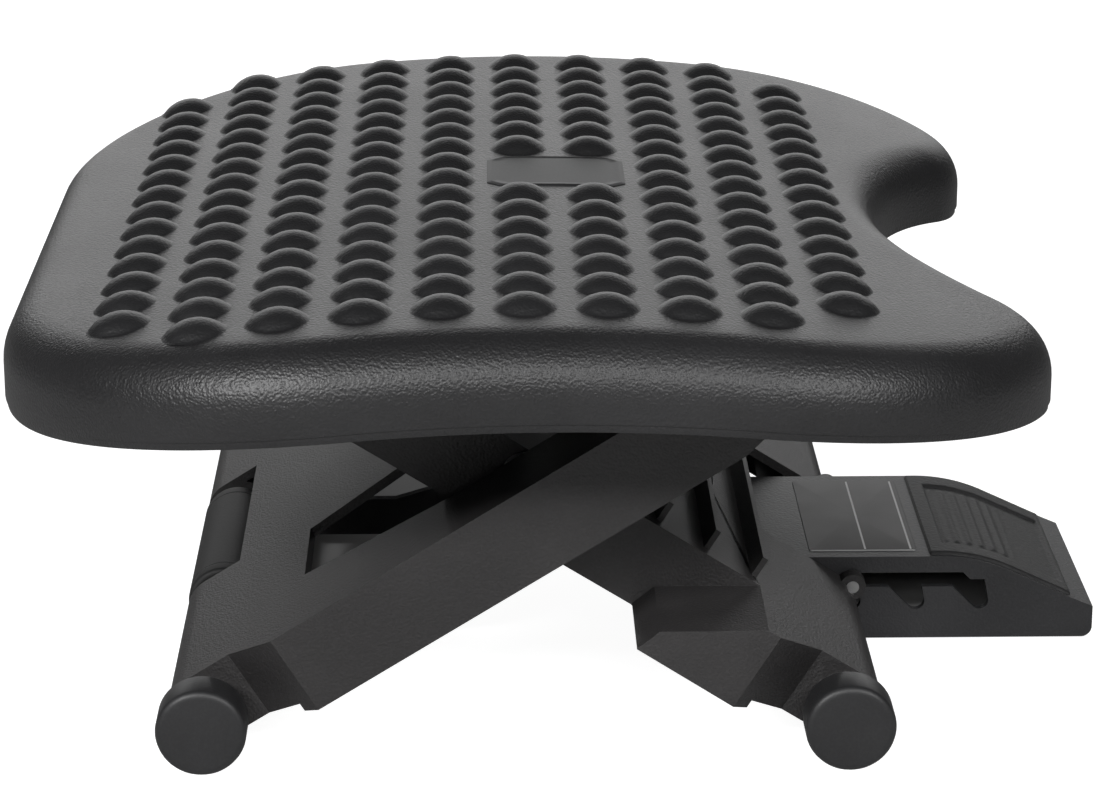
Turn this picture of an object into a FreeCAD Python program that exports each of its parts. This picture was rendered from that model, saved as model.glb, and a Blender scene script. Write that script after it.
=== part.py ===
# Tilting under desk footrest: a crowned, studded platform on a crossed pair of frames.
# Millimetres. +X points to the user and the foot lever, +Y runs along the platform, +Z is up.
# The origin is on the floor, in the middle of the whole footrest's outline. Places along X in the
# sizes and formulas are counted from midway between the two feet, and ORIGIN_X carries them over.
import FreeCAD, Part
import Sketcher
import math
import os
import re

doc = FreeCAD.newDocument("tilting_footrest")
sheet = doc.addObject("Spreadsheet::Sheet", "Sizes")

# Driving sizes. Angles are in degrees, everything else in millimetres.
SIZES = {
    # feet and caps
    "foot_half_span": 113.0,
    "cap_radius": 15.9,
    "cap_face_half": 173.0,
    "cap_length": 16.0,
    "cap_wall": 3.0,
    "cap_flat": 0.3,
    "tube_radius": 13.1,
    "tube_wall": 3.5,
    "neck_half": 150.5,
    "neck_end": 18.6,
    "flare_end": 37.1,
    # crossed frames
    "frame_half": 163.0,
    "arm_slope": 32.1,
    "arm_drop": 17.4,
    "plate": 3.5,
    "wall": 3.5,
    "cross_rise": 5.0,
    "top_reach": 87.7,
    "top_drop": 7.0,
    "arm_end": 12.5,
    "boss_radius": 8.0,
    "arm_inner_low": 114.5,
    "arm_inner_high": 125.0,
    "arm_flare": 22.0,
    "slot_start": 48.7,
    "slot_inner_low": 67.4,
    "slot_inner_high": 57.0,
    "strip_end": 89.6,
    "strip_middle": 70.7,
    "inner_half": 119.0,
    "fork_half": 66.0,
    "wing_top": 49.0,
    "wing_left": 46.5,
    "wing_low": 42.5,
    "wing_tip": 38.5,
    "notch_half": 54.0,
    "notch_depth": 16.3,
    "bearing": 12.0,
    "gap_half": 51.5,
    "gap_end": 40.0,
    "fin_start": 43.0,
    "fin_pitch": 20.2,
    "fin_height": 8.0,
    "fin_thick": 2.2,
    "fin_half": 113.0,
    # rods and fits
    "rod_radius": 4.0,
    "running_fit": 0.05,
    "side_gap": 1.0,
    "rod_stop": 2.5,
    # lock rod and lever
    "lock_reach": 11.5,
    "lock_rise": 8.5,
    "lock_radius": 2.4,
    "lock_boss": 5.0,
    "lever_half": 46.0,
    "lever_wall": 3.0,
    "lever_lift": 0.6,
    "lever_top": 33.5,
    "lever_nose": 217.0,
    "lever_start": 84.0,
    "lever_shift": -4.0,
    "pedal_bend": 158.0,
    "pedal_radius": 64.0,
    "pedal_slope": 25.0,
    "pedal_tip": 7.0,
    "tip_drop": 3.0,
    "nose_round": 4.0,
    "web_lift": 8.0,
    "arm_low": 7.0,
    "arm_depth": 15.0,
    "crest_depth": 12.0,
    "arch_start": -50.0,
    "arch_knee": -20.0,
    "knee_rise": 9.0,
    "crest_start": 4.0,
    "crest_end": 21.0,
    "crest_rise": 29.0,
    "arch_finish": 48.0,
    "channel_low": 21.3,
    "channel_high": 27.0,
    "catch_first": 125.0,
    "catch_pitch": 24.3,
    "catch_low": 15.6,
    "catch_radius": 3.4,
    "eye_radius": 9.0,
    "eye_gap": 1.2,
    "eye_thick": 4.2,
    "label_length": 41.0,
    "label_half": 40.0,
    "label_start": 109.0,
    "label_thick": 0.3,
    # roller
    "roller_half": 47.0,
    "roller_radius": 13.6,
    "roller_core": 10.5,
    # platform
    "crown_height": 171.0,
    "crown_radius": 750.0,
    "platform_shift": 2.5,
    "platform_half_width": 184.0,
    "outline_shift": -3.0,
    "platform_half_length": 217.0,
    "shell": 3.0,
    "skirt": 31.0,
    "skirt_bend": 800.0,
    "skirt_shift": 8.0,
    "edge_roll": 20.0,
    "corner_left": 125.0,
    "corner_right": 112.0,
    "lobe_radius": 50.0,
    "bay_depth": 47.0,
    "bay_radius": 150.0,
    "stud_radius": 11.0,
    "stud_height": 4.8,
    "stud_pitch_x": 27.5,
    "stud_pitch_y": 23.8,
    "stud_shift": -16.5,
    "stud_centre": 2.0,
    "nameplate_length": 52.0,
    "nameplate_half": 22.0,
    "nameplate_thick": 1.0,
    "nameplate_proud": 0.5,
    "nameplate_corner": 5.0,
    # tilt
    "tilt_height": 148.0,
    "tilt_radius": 5.0,
    "ear_out": 60.0,
    "ear_thick": 8.0,
    "bracket_thick": 3.0,
    "bracket_foot": 8.0,
    "flange_width": 16.0,
    "screw_inset": 8.0,
    "screw_head": 2.0,
    "axle_end": 3.0,
    "clip_rim": 2.5,
    "clip_thick": 1.6,
    "pad_height": 160.0,
    "pad_half": 34.0,
    "screw_radius": 2.0,
    "screw_depth": 6.0,
    "glide_radius": 6.0,
    "glide_fit": 0.3,
    "glide_travel": 17.0,
    "carrier_low": 124.5,
    "carrier_high": 142.0,
    "carrier_floor": 3.0,
    "hinge_ear": 10.0,
    "ear_foot": 26.0,
    "ear_head": 9.0,
}

# How many of each repeated thing there are, and which studs make room for the nameplate
FINS = 3
CATCHES = 3
STUD_COLUMNS = 10
STUD_ROWS = 16
PLATED_COLUMNS = (5, 6)
PLATED_ROWS = (7, 8)

for row, (alias, size) in enumerate(SIZES.items(), start=1):
    sheet.set("A%d" % row, alias)
    sheet.set("B%d" % row, repr(size))
    sheet.setAlias("B%d" % row, alias)
doc.recompute()


def size(name):
    """The value of one driving size, read from the sheet."""
    return float(sheet.get(name))


WORDS = re.compile(r"[A-Za-z_]+")


def formula(text):
    """A formula in the sizes' names, as the document's expressions write it."""
    return WORDS.sub(lambda word: "Sizes." + word.group(0) if word.group(0) in SIZES else word.group(0),
                     text)


def number(text):
    """The value of a formula, worked out by the document from the sheet."""
    found = sheet.evalExpression(formula(text))
    return float(getattr(found, "Value", found))


def bind(thing, prop, text):
    """Ties one property of a feature to a formula."""
    thing.setExpression(prop, formula(text))


def minus(text):
    return "-(" + text + ")"


# Places that several pieces share, worked out from the driving sizes
FOOT_Z = "(cap_radius - cap_flat)"
CROSS_U = "((foot_half_span + cross_rise * sin(arm_slope)) / cos(arm_slope))"
CROSS_Z = "(" + FOOT_Z + " + " + CROSS_U + " * sin(arm_slope) + cross_rise * cos(arm_slope))"
TOP_U = "(" + CROSS_U + " + top_reach)"
TOP_W = "(cross_rise - top_drop)"
TOP_X = "(" + TOP_U + " * cos(arm_slope) - " + TOP_W + " * sin(arm_slope) - foot_half_span)"
TOP_Z = "(" + FOOT_Z + " + " + TOP_U + " * sin(arm_slope) + " + TOP_W + " * cos(arm_slope))"
LOCK_X = "(foot_half_span + lock_reach)"
LOCK_Z = "(" + FOOT_Z + " + lock_rise)"
EYE_IN = "(roller_half + eye_gap)"
EYE_OUT = "(roller_half + eye_gap + eye_thick)"
STUB_RADIUS = "(cap_radius - cap_wall)"
PLATE_LOW = "(tube_radius - plate)"
ORIGIN_X = "((lever_nose + platform_shift + outline_shift - platform_half_width) / 2)"
RUN_RADIUS = "(rod_radius + running_fit)"
CARRIER_IN = "(ear_out - ear_thick)"

# A length that passes right through any piece, and a margin that ends well outside a frame
THROUGH = "(4 * frame_half)"
BEYOND = "(2 * tube_radius)"

NODES = []


def body_at(name, x="0", z="0", angle=None, turn=1):
    """A new body, placed by formulas; angle tilts it about the Y axis."""
    made = doc.addObject("PartDesign::Body", name)
    made.Label = name
    made.Placement = FreeCAD.Placement(FreeCAD.Vector(), FreeCAD.Rotation(FreeCAD.Vector(0, turn, 0), 0))
    bind(made, "Placement.Base.x", x + " - " + ORIGIN_X)
    bind(made, "Placement.Base.z", z)
    if angle:
        bind(made, "Placement.Rotation.Angle", angle)
    NODES.append(made)
    return made


def sketch(body, name, role, outlines=(), circles=(), away=None):
    """A sketch on one of the body's own planes: closed outlines and circles.

    A corner is its two places, and a third formula there makes the side that follows it an arc of
    that radius, which bulges to the right of the way round."""
    drawn = body.newObject("Sketcher::SketchObject", body.Name + "_" + name)
    plane = next(item for item in body.Origin.OriginFeatures if item.Role == role)
    drawn.AttachmentSupport = [(plane, "")]
    drawn.MapMode = "FlatFace"
    if away:
        bind(drawn, "AttachmentOffset.Base.z", away)
    for outline in outlines:
        corners = [FreeCAD.Vector(number(corner[0]), number(corner[1]), 0) for corner in outline]
        first = drawn.GeometryCount
        count = len(corners)
        for index, corner in enumerate(outline):
            start, finish = corners[index], corners[(index + 1) % count]
            if len(corner) < 3:
                drawn.addGeometry(Part.LineSegment(start, finish), False)
                continue
            drawn.addGeometry(bulging(start, finish, number(corner[2])), False)
            held = drawn.addConstraint(Sketcher.Constraint("Radius", first + index, number(corner[2])))
            bind(drawn, "Constraints[%d]" % held, corner[2])
        for index, corner in enumerate(outline):
            line = first + index
            drawn.addConstraint(Sketcher.Constraint("Coincident", line, 2, first + (index + 1) % count, 1))
            place(drawn, line, 1, corner[0], corner[1])
    for x, y, radius in circles:
        middle = FreeCAD.Vector(number(x), number(y), 0)
        ring = drawn.addGeometry(Part.Circle(middle, FreeCAD.Vector(0, 0, 1), number(radius)), False)
        place(drawn, ring, 3, x, y)
        held = drawn.addConstraint(Sketcher.Constraint("Radius", ring, number(radius)))
        bind(drawn, "Constraints[%d]" % held, radius)
    return drawn


def bulging(start, finish, radius):
    """An arc between two corners, turning left on its way, under half a turn."""
    chord = finish - start
    left = FreeCAD.Vector(-chord.y, chord.x, 0).normalize()
    centre = (start + finish) * 0.5 + left * math.sqrt(radius ** 2 - (chord.Length / 2) ** 2)
    turns = [math.atan2(corner.y - centre.y, corner.x - centre.x) for corner in (start, finish)]
    return Part.ArcOfCircle(Part.Circle(centre, FreeCAD.Vector(0, 0, 1), radius), *turns)


def place(drawn, geometry, point, x, y):
    """Holds a point of a sketch at two formulas."""
    held = drawn.addConstraint(Sketcher.Constraint("DistanceX", -1, 1, geometry, point, number(x)))
    bind(drawn, "Constraints[%d]" % held, x)
    held = drawn.addConstraint(Sketcher.Constraint("DistanceY", -1, 1, geometry, point, number(y)))
    bind(drawn, "Constraints[%d]" % held, y)


def grow(body, drawn, length, middle=True):
    """Adds the sketch's extrusion to the body."""
    made = body.newObject("PartDesign::Pad", drawn.Name + "_pad")
    made.Profile = drawn
    bind(made, "Length", length)
    made.SideType = "Symmetric" if middle else "One side"
    drawn.Visibility = False
    return made


def carve(body, drawn, length):
    """Takes the sketch's extrusion, equal on both sides of its plane, out of the body."""
    made = body.newObject("PartDesign::Pocket", drawn.Name + "_cut")
    made.Profile = drawn
    bind(made, "Length", length)
    made.SideType = "Symmetric"
    drawn.Visibility = False
    return made


def box(x0, y0, x1, y1):
    """The four corners of an upright rectangle."""
    return [(x0, y0), (x1, y0), (x1, y1), (x0, y1)]


def mirrored(outline):
    """An outline and its mirror image across the length's middle."""
    return [outline, [(x, minus(y)) for x, y in outline]]


def both_sides(low, high):
    """The middle and the thickness of a pair of layers between two distances from the middle."""
    return "((" + low + " + " + high + ") / 2)", "(" + high + " - (" + low + "))"


def layers(body, name, outlines, circles, low, high, act):
    """Does one pad or pocket near, and its twin far, between two distances from the middle."""
    middle, thick = both_sides(low, high)
    for side, away in (("near", middle), ("far", minus(middle))):
        act(body, sketch(body, name + "_" + side, "XZ_Plane", outlines, circles, away), thick)


def crossed_frame(name, turn):
    """What both frames share: a plate with turned down sides, a foot tube and two cap stubs."""
    def u(text):
        return text if turn < 0 else minus(text)

    body = body_at(name, minus("foot_half_span") if turn < 0 else "foot_half_span", FOOT_Z, "arm_slope",
                   turn)
    half = "frame_half" if turn < 0 else "inner_half"
    end_low = TOP_W + " - arm_end"
    end_high = TOP_W + " + arm_end"
    profile = [(u("0"), "tube_radius"), (u(TOP_U + " - arm_end"), "tube_radius"), (u(TOP_U), end_high),
               (u(TOP_U), end_low), (u(TOP_U + " - arm_end"), minus("arm_drop")),
               (u("flare_end"), minus("arm_drop")), (u("neck_end"), minus("tube_radius")),
               (u("0"), minus("tube_radius"))]
    grow(body, sketch(body, "side", "XZ_Plane", [profile]), "2 * " + half)
    grow(body, sketch(body, "end", "XZ_Plane", (), [(u(TOP_U), TOP_W, "arm_end")]), "2 * " + half)
    return body, u


# The outer frame: foot under the platform's left edge, rising to the right
outer_frame, u = crossed_frame("outer_frame", -1)
hollow = box(minus(BEYOND), minus(BEYOND), u(TOP_U + " + " + BEYOND), PLATE_LOW)
carve(outer_frame, sketch(outer_frame, "hollow", "XZ_Plane", [hollow]), "2 * (frame_half - wall)")
arm_opening = [("strip_middle", "0"), ("strip_end", "slot_inner_high"), ("slot_start", "slot_inner_low"),
               ("slot_start", "arm_inner_low"), ("strip_end + arm_flare", "arm_inner_high"),
               (TOP_U + " + " + BEYOND, "arm_inner_high"), (TOP_U + " + " + BEYOND, "0")]
for side, outline in zip(("far", "near"), mirrored(arm_opening)):
    carve(outer_frame, sketch(outer_frame, "opening_" + side, "XY_Plane", [outline]), THROUGH)
corner = [(minus(BEYOND), "neck_half"), ("neck_end", "neck_half"), ("flare_end", "frame_half"),
          ("flare_end", "frame_half + " + BEYOND), (minus(BEYOND), "frame_half + " + BEYOND)]
carve(outer_frame, sketch(outer_frame, "corner", "XY_Plane", mirrored(corner)), THROUGH)
flare_wall = [("0", "neck_half - wall"), ("neck_end", "neck_half - wall"),
              ("flare_end", "frame_half - wall"),
              ("flare_end", "frame_half"), ("neck_end", "neck_half"), ("0", "neck_half")]
inner_wall = [("slot_start - wall", "arm_inner_low - wall"), ("slot_start - wall", "arm_inner_low"),
              ("slot_start", "arm_inner_low"), ("strip_end + arm_flare", "arm_inner_high"),
              (TOP_U, "arm_inner_high"),
              (TOP_U, "arm_inner_high + wall"), ("strip_end + arm_flare", "arm_inner_high + wall"),
              ("slot_start", "arm_inner_low + wall"), ("slot_start - 2 * wall", "arm_inner_low + wall"),
              ("slot_start - 2 * wall", "arm_inner_low - wall")]
for title, outline, low in (("flare", flare_wall, "tube_radius"),
                            ("inner", inner_wall, "(arm_end - " + TOP_W + ")")):
    drawn = sketch(outer_frame, title, "XY_Plane", mirrored(outline), (), minus(low))
    grow(outer_frame, drawn, low + " + tube_radius - plate / 2", False)
grow(outer_frame, sketch(outer_frame, "tube", "XZ_Plane", (), [("0", "0", "tube_radius")]), "2 * neck_half")
grow(outer_frame, sketch(outer_frame, "stub", "XZ_Plane", (), [("0", "0", STUB_RADIUS)]),
     "2 * (cap_face_half - cap_wall)")
notch = [box(minus(BEYOND), minus("notch_half"), "notch_depth", "notch_half")]
carve(outer_frame, sketch(outer_frame, "notch", "XY_Plane", notch), THROUGH)
layers(outer_frame, "tube_bore", (), [("0", "0", "tube_radius - tube_wall")], "notch_half + bearing",
       "neck_half - bearing", carve)
layers(outer_frame, "boss", (), [(CROSS_U, "cross_rise", "boss_radius"), (TOP_U, TOP_W, "boss_radius")],
       "arm_inner_high", "frame_half - wall / 2", grow)
carve(outer_frame, sketch(outer_frame, "axle_hole", "XZ_Plane", (), [("0", "0", "rod_radius")]),
      "2 * (notch_half + bearing)")
rod_holes = [(CROSS_U, "cross_rise", "rod_radius"), (TOP_U, TOP_W, "rod_radius")]
carve(outer_frame, sketch(outer_frame, "rod_holes", "XZ_Plane", (), rod_holes),
      "2 * (frame_half - wall - rod_stop)")

# The inner frame: foot under the user's edge, rising to the left between the outer frame's arms
inner_frame, u = crossed_frame("inner_frame", 1)


def wing_point(x, z):
    """A point of the wing's outline, from its place on the ground plan to the frame's own axes."""
    along = "(foot_half_span - " + x + ") * cos(arm_slope) + (" + z + " - " + FOOT_Z + ") * sin(arm_slope)"
    above = "(" + z + " - " + FOOT_Z + ") * cos(arm_slope) - (foot_half_span - " + x + ") * sin(arm_slope)"
    return minus(along), above


wing_rise = "(wing_top - " + FOOT_Z + " - tube_radius * cos(arm_slope)) / sin(arm_slope)"
wing = [("0", "tube_radius"), (minus(wing_rise), "tube_radius"),
        wing_point("wing_left", "wing_top"), wing_point("wing_tip", "wing_low"),
        (u("flare_end"), minus("arm_drop")), (u("neck_end"), minus("tube_radius")),
        ("0", minus("tube_radius"))]
grow(inner_frame, sketch(inner_frame, "wing", "XZ_Plane", [wing]), "2 * frame_half")
wing_hollow = [(BEYOND, PLATE_LOW), (minus(wing_rise + " - plate / 2"), PLATE_LOW),
               wing_point("(wing_left + wall)", "(wing_top - plate)"),
               wing_point("(wing_tip + wall)", "(wing_low - plate / 2)"),
               (u("flare_end"), minus(BEYOND)), (BEYOND, minus(BEYOND))]
layers(inner_frame, "wing_hollow", [wing_hollow], (), "inner_half", "frame_half - wall", carve)
hollow = box(BEYOND, minus(BEYOND), u(TOP_U + " + " + BEYOND), PLATE_LOW)
carve(inner_frame, sketch(inner_frame, "hollow", "XZ_Plane", [hollow]), "2 * (inner_half - wall)")
fork = box(u(CROSS_U + " + boss_radius"), minus("fork_half"), u(TOP_U + " + " + BEYOND), "fork_half")
carve(inner_frame, sketch(inner_frame, "fork", "XY_Plane", [fork]), THROUGH)
corner = [(BEYOND, "neck_half"), (u("neck_end"), "neck_half"), (u("flare_end"), "frame_half"),
          (u("flare_end"), "frame_half + " + BEYOND), (BEYOND, "frame_half + " + BEYOND)]
carve(inner_frame, sketch(inner_frame, "corner", "XY_Plane", mirrored(corner)), THROUGH)
flare_wall = [("0", "neck_half - wall"), (u("neck_end"), "neck_half - wall"),
              (u("flare_end"), "frame_half - wall"),
              (u("flare_end"), "frame_half"), (u("neck_end"), "neck_half"), ("0", "neck_half")]
fork_wall = box(u(CROSS_U + " + boss_radius"), "fork_half", u(TOP_U), "fork_half + wall")
for title, outline, low in (("flare", flare_wall, "tube_radius"),
                            ("fork_wall", fork_wall, "(arm_end - " + TOP_W + ")")):
    drawn = sketch(inner_frame, title, "XY_Plane", mirrored(outline), (), minus(low))
    grow(inner_frame, drawn, low + " + tube_radius - plate / 2", False)
grow(inner_frame, sketch(inner_frame, "tube", "XZ_Plane", (), [("0", "0", "tube_radius")]), "2 * neck_half")
grow(inner_frame, sketch(inner_frame, "stub", "XZ_Plane", (), [("0", "0", STUB_RADIUS)]),
     "2 * (cap_face_half - cap_wall)")
gap = [box(BEYOND, minus("gap_half"), u("gap_end"), "gap_half")]
carve(inner_frame, sketch(inner_frame, "gap", "XY_Plane", gap), THROUGH)
layers(inner_frame, "tube_bore", (), [("0", "0", "tube_radius - tube_wall")], "gap_half + bearing",
       "neck_half - bearing", carve)
layers(inner_frame, "cross_boss", (), [(u(CROSS_U), "cross_rise", "boss_radius")], "inner_half - bearing",
       "inner_half - wall / 2", grow)
layers(inner_frame, "top_boss", (), [(u(TOP_U), TOP_W, "boss_radius")], "fork_half",
       "inner_half - wall / 2", grow)
lock_boss = [("lock_reach * cos(arm_slope) - lock_rise * sin(arm_slope)",
              "lock_reach * sin(arm_slope) + lock_rise * cos(arm_slope)", "lock_boss")]
lock_hole = [(lock_boss[0][0], lock_boss[0][1], "lock_radius")]
layers(inner_frame, "lock_boss", (), lock_boss, "gap_half", "gap_half + bearing / 2", grow)
carve(inner_frame, sketch(inner_frame, "lock_hole", "XZ_Plane", (), lock_hole), "2 * (gap_half + bearing)")
cross_hole = [(u(CROSS_U), "cross_rise", RUN_RADIUS)]
carve(inner_frame, sketch(inner_frame, "cross_hole", "XZ_Plane", (), cross_hole), THROUGH)
carve(inner_frame, sketch(inner_frame, "top_hole", "XZ_Plane", (), [(u(TOP_U), TOP_W, "rod_radius")]),
      "2 * (inner_half - rod_stop)")
for index in range(FINS):
    start = u("fin_start + %d * fin_pitch" % index)
    finish = u("fin_start + %d * fin_pitch + fin_thick" % index)
    fin = [(start, "tube_radius - plate / 2"), (start, "tube_radius + fin_height"),
           (finish, "tube_radius + fin_height"), (finish, "tube_radius - plate / 2")]
    grow(inner_frame, sketch(inner_frame, "fin%d" % index, "XZ_Plane", [fin]), "2 * fin_half")


def bar(name, radius, low, high, x, z):
    """A round bar between two places along the length."""
    made = doc.addObject("Part::Cylinder", name)
    made.Label = name
    made.Placement = FreeCAD.Placement(FreeCAD.Vector(), FreeCAD.Rotation(FreeCAD.Vector(1, 0, 0), -90))
    bind(made, "Radius", radius)
    bind(made, "Height", both_sides(low, high)[1])
    bind(made, "Placement.Base.x", x + " - " + ORIGIN_X)
    bind(made, "Placement.Base.y", low)
    bind(made, "Placement.Base.z", z)
    return made


def rod(name, radius, half, x, z):
    """A rod across the footrest, as long to the near side as to the far one."""
    NODES.append(bar(name, radius, minus(half), half, x, z))


def sleeve(name, outer, bore, low, high, x, z):
    """A round sleeve between two places along the length."""
    made = doc.addObject("Part::Cut", name)
    made.Label = name
    made.Base = bar(name + "_outside", outer, low, high, x, z)
    made.Tool = bar(name + "_bore", bore, low, high, x, z)
    return made


def ring(*sizes):
    """A sleeve that is a piece of its own."""
    NODES.append(sleeve(*sizes))


def span(side, low, high):
    """Two distances from the middle, as places along the length on the near or the far side."""
    return (low, high) if side == "far" else (minus(high), minus(low))


# Rods: the roller's axle and the crossing and outer top rods sit fast in the outer frame
rod("foot_axle", "rod_radius", "notch_half + bearing", minus("foot_half_span"), FOOT_Z)
rod("cross_rod", "rod_radius", "frame_half - wall - rod_stop", "0", CROSS_Z)
rod("outer_top_rod", "rod_radius", "frame_half - wall - rod_stop", TOP_X, TOP_Z)
rod("inner_top_rod", "rod_radius", "inner_half - rod_stop", minus(TOP_X), TOP_Z)
rod("lock_rod", "lock_radius", "gap_half + bearing / 2", LOCK_X, LOCK_Z)

# Roller in the outer foot's notch: a hard core that turns on the axle, and a grippy sleeve
ring("roller_core", "roller_core", RUN_RADIUS, minus("roller_half"), "roller_half", minus("foot_half_span"),
     FOOT_Z)
ring("roller_sleeve", "roller_radius", "roller_core", minus("roller_half"), "roller_half",
     minus("foot_half_span"), FOOT_Z)

# Washers that keep the frames apart on the cross rod, and the rollers that glide in the carrier
for side in ("near", "far"):
    between = span(side, "inner_half + side_gap", "arm_inner_high - side_gap")
    ring("cross_washer_" + side, "boss_radius", "rod_radius", *between, "0", CROSS_Z)
    ring("glide_roller_" + side, "glide_radius", "rod_radius", *span(side, CARRIER_IN, "ear_out"),
         minus(TOP_X), TOP_Z)

# Foot caps: cups over both ends of both foot tubes, with a flat under each where it stands
for side in ("near", "far"):
    for frame, x in (("outer", minus("foot_half_span")), ("inner", "foot_half_span")):
        title = "%s_cap_%s" % (frame, side)
        cup = doc.addObject("Part::Fuse", title + "_cup")
        cup.Base = sleeve(title + "_skirt", "cap_radius", STUB_RADIUS,
                          *span(side, "cap_face_half - cap_length", "cap_face_half"), x, FOOT_Z)
        cup.Tool = bar(title + "_face", "cap_radius",
                       *span(side, "cap_face_half - cap_wall", "cap_face_half"),
                       x, FOOT_Z)
        floor = doc.addObject("Part::Box", title + "_floor")
        bind(floor, "Length", "2 * cap_radius")
        bind(floor, "Width", THROUGH)
        bind(floor, "Height", "cap_radius")
        bind(floor, "Placement.Base.x", x + " - cap_radius - " + ORIGIN_X)
        bind(floor, "Placement.Base.y", minus(THROUGH + " / 2"))
        bind(floor, "Placement.Base.z", minus("cap_radius"))
        cap = doc.addObject("Part::Cut", title)
        cap.Label = title
        cap.Base, cap.Tool = cup, floor
        NODES.append(cap)

# Lever: a hollow pedal with a stepped slot in both side walls, and two arched arms to the foot axle
BEND_X = "(pedal_bend + pedal_radius * sin(pedal_slope))"
BEND_Z = "(lever_top - pedal_radius * (1 - cos(pedal_slope)))"
TIP_X = "(lever_nose - pedal_tip)"
TIP_Z = "(" + BEND_Z + " - (" + TIP_X + " - " + BEND_X + ") * tan(pedal_slope))"
lever = body_at("lever")
pedal = [("lever_start", "lever_lift"), ("lever_nose - nose_round", "lever_lift", "nose_round"),
         ("lever_nose", "lever_lift + nose_round"), ("lever_nose", TIP_Z + " - tip_drop"), (TIP_X, TIP_Z),
         (BEND_X, BEND_Z, "pedal_radius"), ("pedal_bend", "lever_top"), ("lever_start", "lever_top")]
grow(lever, sketch(lever, "pedal", "XZ_Plane", [pedal], (), "-lever_shift"), "2 * lever_half")
inside = [("lever_start + lever_wall", "-lever_top"), ("lever_nose - lever_wall", "-lever_top"),
          ("lever_nose - lever_wall", TIP_Z + " - tip_drop - 2 * lever_wall"),
          (BEND_X, BEND_Z + " - lever_wall"), ("pedal_bend", "lever_top - lever_wall"),
          ("lever_start + lever_wall", "lever_top - lever_wall")]
carve(lever, sketch(lever, "inside", "XZ_Plane", [inside], (), "-lever_shift"),
      "2 * (lever_half - lever_wall)")

# The slot is a level channel with catches that hang from it on throats at half a right angle; the
# last catch closes it
SLANT = "(catch_radius * cos(45))"
channel_start = LOCK_X + " - lock_radius - 2 * glide_fit"
last = "(catch_first + %d * catch_pitch)" % (CATCHES - 1)
turning = last + " - 2 * catch_radius"
channel = [box(channel_start, "channel_low", turning, "channel_high")]
carve(lever, sketch(lever, "channel", "XZ_Plane", channel), THROUGH)
throat_high = "(channel_low + channel_high) / 2"
for index in range(CATCHES):
    middle = "(catch_first + %d * catch_pitch)" % index
    left = middle + " - " + SLANT
    throat = [(left, "catch_low - " + SLANT), (middle + " + catch_radius", "catch_low"),
              (middle + " + catch_radius / 2", throat_high),
              (left + " - (" + throat_high + " - catch_low + " + SLANT + ")", throat_high)]
    carve(lever, sketch(lever, "throat%d" % index, "XZ_Plane", [throat]), THROUGH)
    catch = [(middle, "catch_low", "catch_radius")]
    carve(lever, sketch(lever, "catch%d" % index, "XZ_Plane", (), catch), THROUGH)
right = last + " + " + SLANT
closing = [(turning + " - catch_radius", "channel_low"), (right, "channel_low"),
           (right, "catch_low + " + SLANT),
           (right + " - (channel_high - catch_low - " + SLANT + ")", "channel_high"),
           (turning + " - catch_radius", "channel_high")]
carve(lever, sketch(lever, "closing", "XZ_Plane", [closing]), THROUGH)

# The arms arch over the space between the frames and end in eyes beside the roller
web = [box("lever_start - 2 * lever_wall", "lever_lift + web_lift", "lever_start + lever_wall",
           "lever_top")]
grow(lever, sketch(lever, "web", "XZ_Plane", web), "2 * " + EYE_OUT)
arm = [("-foot_half_span", "lever_lift + arm_low"), ("arch_start", "lever_lift + arm_low"),
       ("arch_knee", "lever_lift + arm_low + knee_rise"),
       ("crest_start", "lever_lift + arm_low + crest_rise"),
       ("crest_end", "lever_lift + arm_low + crest_rise"), ("arch_finish", "lever_lift + web_lift"),
       ("lever_start", "lever_lift + web_lift"), ("lever_start", "lever_top"), ("arch_finish", "lever_top"),
       ("crest_end", "lever_lift + arm_low + crest_rise + crest_depth"),
       ("crest_start", "lever_lift + arm_low + crest_rise + crest_depth"),
       ("arch_knee", "lever_lift + arm_low + knee_rise + arm_depth"),
       ("arch_start", "lever_lift + arm_low + arm_depth"),
       ("-foot_half_span", "lever_lift + arm_low + arm_depth")]
layers(lever, "arm", [arm], (), EYE_IN, EYE_OUT, grow)
layers(lever, "eye", (), [("-foot_half_span", FOOT_Z, "eye_radius")], EYE_IN, EYE_OUT, grow)
carve(lever, sketch(lever, "eye_hole", "XZ_Plane", (), [("-foot_half_span", FOOT_Z, RUN_RADIUS)]), THROUGH)

label = doc.addObject("Part::Box", "lever_label")
label.Label = "lever_label"
bind(label, "Length", "label_length")
bind(label, "Width", "2 * label_half")
bind(label, "Height", "label_thick")
bind(label, "Placement.Base.x", "label_start - " + ORIGIN_X)
bind(label, "Placement.Base.y", "lever_shift - label_half")
bind(label, "Placement.Base.z", "lever_top")
NODES.append(label)

# Carrier: a level channel under the platform. It hinges on the outer top rod, the inner top rod's
# rollers run in its two long slots, and the tilt axle lies across its ears
carrier = body_at("carrier")
slot_low = "(-(" + TOP_X + ") - glide_travel - glide_radius - glide_fit)"
slot_high = "(-(" + TOP_X + ") + glide_radius + glide_fit)"
cheek = [(slot_low + " - carrier_floor", TOP_Z + " - glide_radius - glide_fit - carrier_floor"),
         (slot_high + " + carrier_floor", TOP_Z + " - glide_radius - glide_fit - carrier_floor"),
         (slot_high + " + 2 * carrier_floor", "carrier_low"), (TOP_X + " + hinge_ear", "carrier_low"),
         (TOP_X + " + hinge_ear", "carrier_high"), ("platform_shift + ear_foot", "carrier_high"),
         ("platform_shift + ear_head", "tilt_height + ear_head"),
         ("platform_shift - ear_head", "tilt_height + ear_head"),
         ("platform_shift - ear_foot", "carrier_high"), (slot_low + " - carrier_floor", "carrier_high")]
grow(carrier, sketch(carrier, "cheek", "XZ_Plane", [cheek]), "2 * ear_out")
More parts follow.
